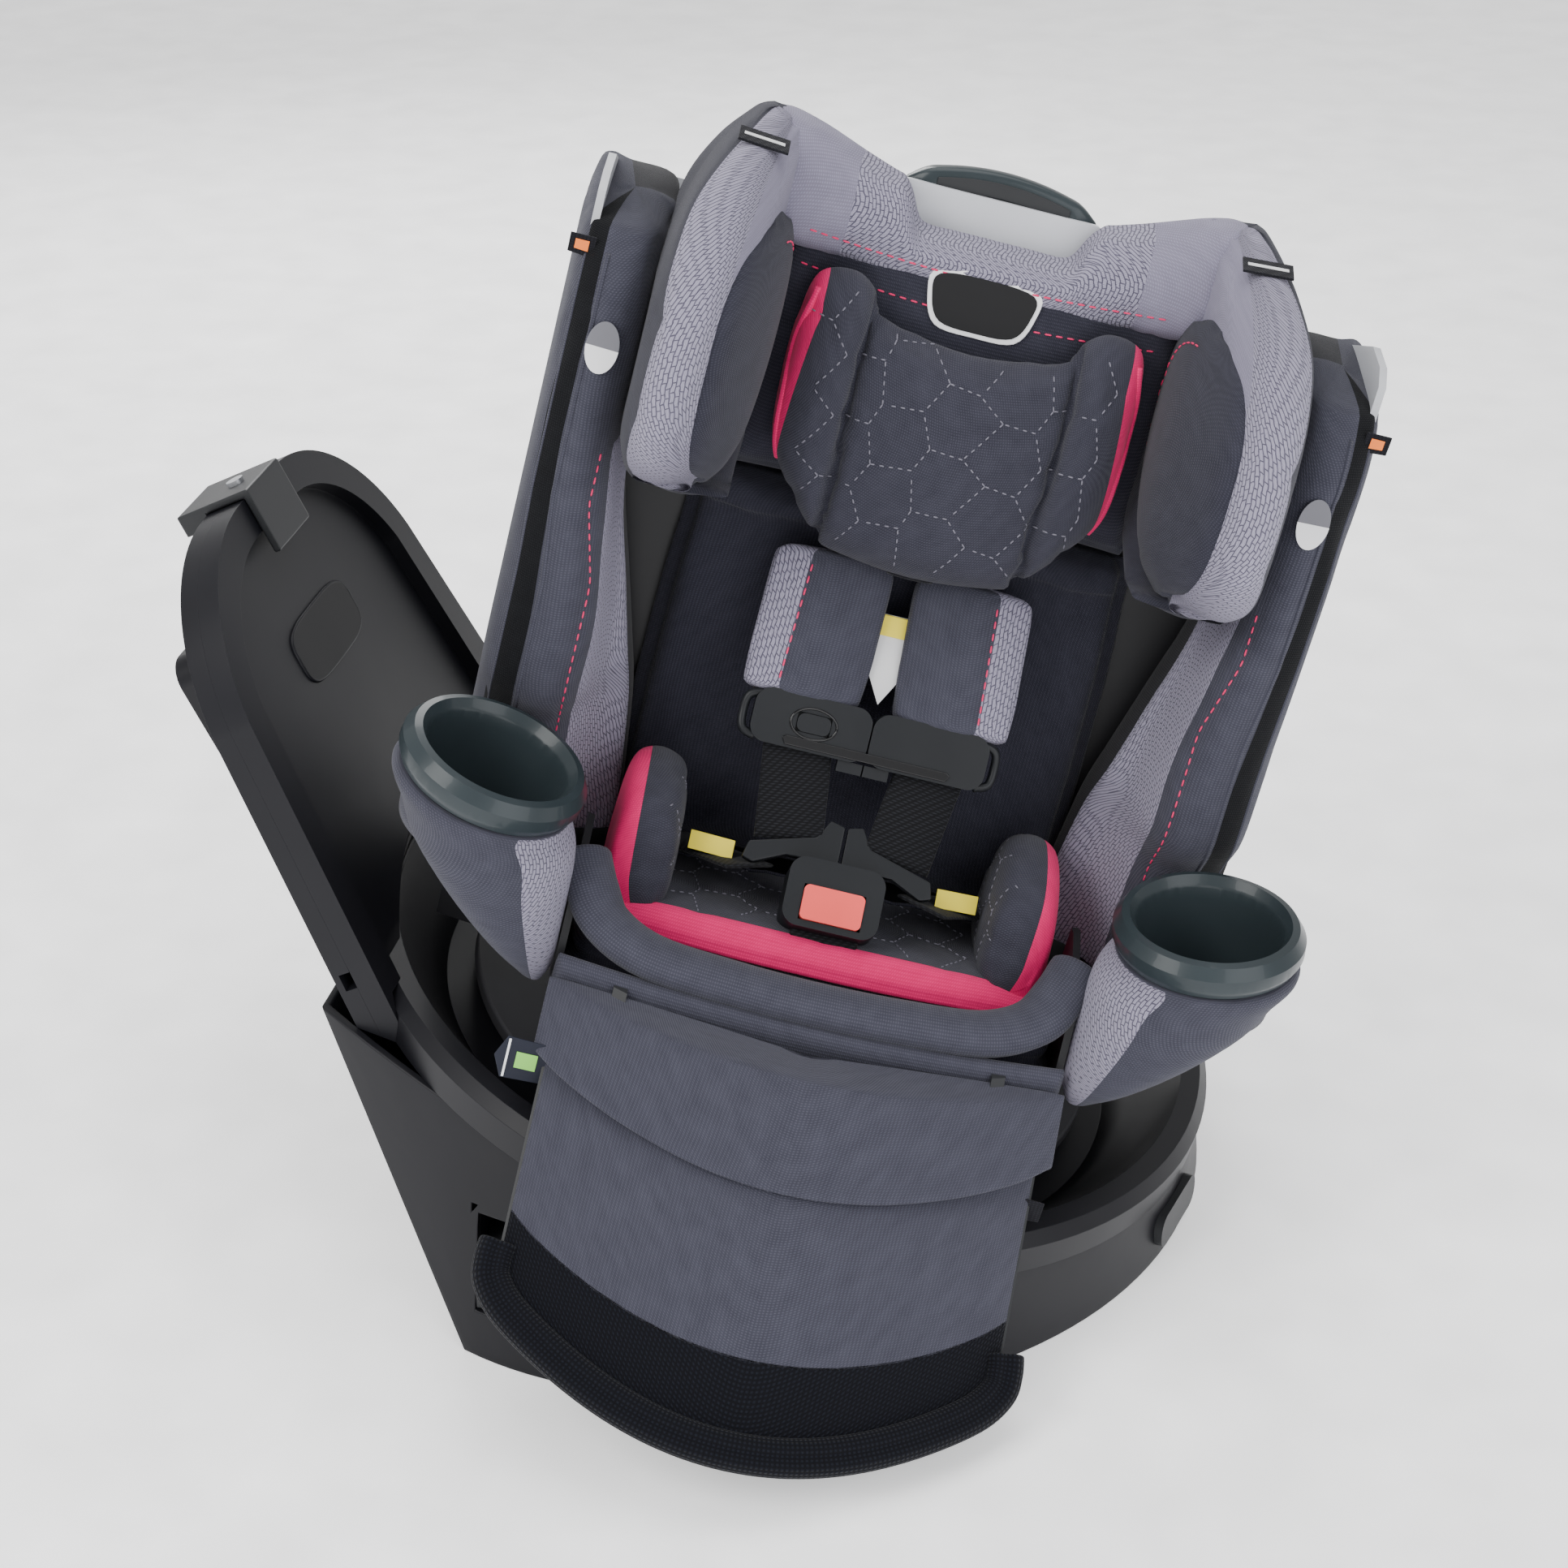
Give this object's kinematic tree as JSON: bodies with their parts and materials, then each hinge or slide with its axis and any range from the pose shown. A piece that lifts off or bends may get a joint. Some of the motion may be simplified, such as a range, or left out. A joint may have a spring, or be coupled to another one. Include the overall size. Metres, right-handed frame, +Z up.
{
  "type": "child car seat",
  "caption": "Rotating convertible child car seat: padded bucket with headrest, harness, cup holders and leg rest, turning on a tilted wedge base with a tall side wall.",
  "frame": {"origin": "on the floor, under the point where the swivel axis crosses the rim plane of the base", "axes": "+Z up; the base's tall wall rises on the -X side and the swivel axis leans towards +X; the occupant faces -Y"},
  "size_m": [0.6358, 0.6002, 0.5979],
  "materials": {
    "base_plastic": "satin moulded",
    "wall_plastic": "satin moulded",
    "trim_plastic": "fine grain",
    "grey_plastic": "smooth",
    "inner_plastic": "moulded",
    "rim_rubber": "satin",
    "steel": "zinc plated",
    "charcoal_fabric": "ribbed knit",
    "mesh_fabric": "dashed mesh knit",
    "lilac_fabric": "plain knit",
    "black_fabric": "smooth knit",
    "quilted_fabric": "quilted knit",
    "webbing": "woven webbing",
    "clip_plastic": "satin",
    "button_plastic": "gloss",
    "badge_plastic": "gloss",
    "pad_rubber": "matt"
  },
  "bodies": {
    "base": {"base_skirt": "base_plastic", "base_tunnel": "base_plastic", "base_plate": "base_plastic", "rubber_pads": "pad_rubber", "bowl": "base_plastic", "wall_front": "wall_plastic", "wall_rear": "wall_plastic", "tether_bracket": "trim_plastic", "bracket_screw": "steel", "anchor_webbing": "webbing", "end_badge": "trim_plastic", "hub_post": "steel", "hub_nut": "steel", "ball_race": "steel", "anchor_adjuster": "steel"},
    "turntable": {"turntable": "inner_plastic", "bearing_balls": "steel", "ball_cage": "inner_plastic", "recline_cradle": "inner_plastic", "cradle_bolts": "steel"},
    "swivel_lever": {"swivel_lever": "trim_plastic"},
    "seat": {"seat_shell": "grey_plastic", "guide_rails": "steel", "seat_cushion": "charcoal_fabric", "back_cushion": "charcoal_fabric", "side_wing_left": "charcoal_fabric", "side_wing_right": "charcoal_fabric", "cup_pod_left": "charcoal_fabric", "cup_pod_right": "charcoal_fabric", "front_roll": "charcoal_fabric", "front_trim": "trim_plastic", "harness_webbing": "webbing", "shoulder_pad_left": "charcoal_fabric", "shoulder_pad_right": "charcoal_fabric", "buckle": "clip_plastic", "tongue_left": "steel", "tongue_right": "steel", "infant_insert": "quilted_fabric", "adjuster": "trim_plastic"},
    "headrest": {"headrest_shell": "grey_plastic", "headrest_pad": "charcoal_fabric", "headrest_wing_left": "mesh_fabric", "headrest_wing_right": "mesh_fabric", "pillow": "quilted_fabric", "head_badge": "badge_plastic"},
    "headrest_handle": {"headrest_handle": "rim_rubber"},
    "leg_rest": {"leg_board": "trim_plastic", "leg_pad": "charcoal_fabric", "leg_lip": "black_fabric", "leg_flap": "charcoal_fabric"},
    "cup_left": {"cup_liner_left": "rim_rubber"},
    "cup_right": {"cup_liner_right": "rim_rubber"},
    "chest_clip": {"clip_left": "clip_plastic", "clip_right": "clip_plastic"},
    "clip_button": {"clip_button": "clip_plastic"},
    "buckle_button": {"buckle_button": "button_plastic"},
    "adjuster_button": {"adjuster_button": "clip_plastic"},
    "recline_lever": {"recline_lever": "trim_plastic"}
  },
  "joints": [
    {"name": "swivel", "type": "hinge", "parent": "base", "child": "turntable", "pos_m": [0, 0, 0.115], "axis": [0.2419, 0, 0.9703], "range_deg": [0, 164]},
    {"name": "swivel_release", "type": "slide", "parent": "turntable", "child": "swivel_lever", "axis": [0.135, -0.9903, -0.0337], "range_m": [0, 0.005], "stiffness_N_per_m": 800},
    {"name": "recline", "type": "hinge", "parent": "turntable", "child": "seat", "pos_m": [0.06588, -0.03961, 0.35623], "axis": [-0.9609, -0.1392, 0.2396], "range_deg": [0, 12]},
    {"name": "headrest_height", "type": "slide", "parent": "seat", "child": "headrest", "axis": [0.2117, 0.189, 0.9589], "range_m": [0, 0.14]},
    {"name": "headrest_release", "type": "slide", "parent": "headrest", "child": "headrest_handle", "axis": [0.2117, 0.189, 0.9589], "range_m": [0, 0.005], "stiffness_N_per_m": 900},
    {"name": "leg_rest_lift", "type": "hinge", "parent": "seat", "child": "leg_rest", "pos_m": [0.03531, -0.1525, 0.16803], "axis": [-0.9609, -0.1392, 0.2396], "range_deg": [0, 45]},
    {"name": "cup_lift_left", "type": "slide", "parent": "seat", "child": "cup_left", "axis": [0.0541, -0.0266, 0.9982], "range_m": [0, 0.05]},
    {"name": "cup_lift_right", "type": "slide", "parent": "seat", "child": "cup_right", "axis": [0.4208, 0.0266, 0.9068], "range_m": [0, 0.05]},
    {"name": "chest_clip_slide", "type": "slide", "parent": "seat", "child": "chest_clip", "axis": [0.1453, 0.4831, 0.8634], "range_m": [-0.015, 0]},
    {"name": "chest_clip_press", "type": "slide", "parent": "chest_clip", "child": "clip_button", "axis": [-0.2359, 0.8644, -0.444], "range_m": [0, 0.0015], "stiffness_N_per_m": 500},
    {"name": "buckle_press", "type": "slide", "parent": "seat", "child": "buckle_button", "axis": [-0.2678, 0.6879, -0.6746], "range_m": [0, 0.003], "stiffness_N_per_m": 700},
    {"name": "adjuster_press", "type": "slide", "parent": "seat", "child": "adjuster_button", "axis": [-0.135, 0.9903, 0.0337], "range_m": [0, 0.0025], "stiffness_N_per_m": 600},
    {"name": "recline_release", "type": "slide", "parent": "seat", "child": "recline_lever", "axis": [0.135, -0.9903, -0.0337], "range_m": [0, 0.006], "stiffness_N_per_m": 800}
  ]
}
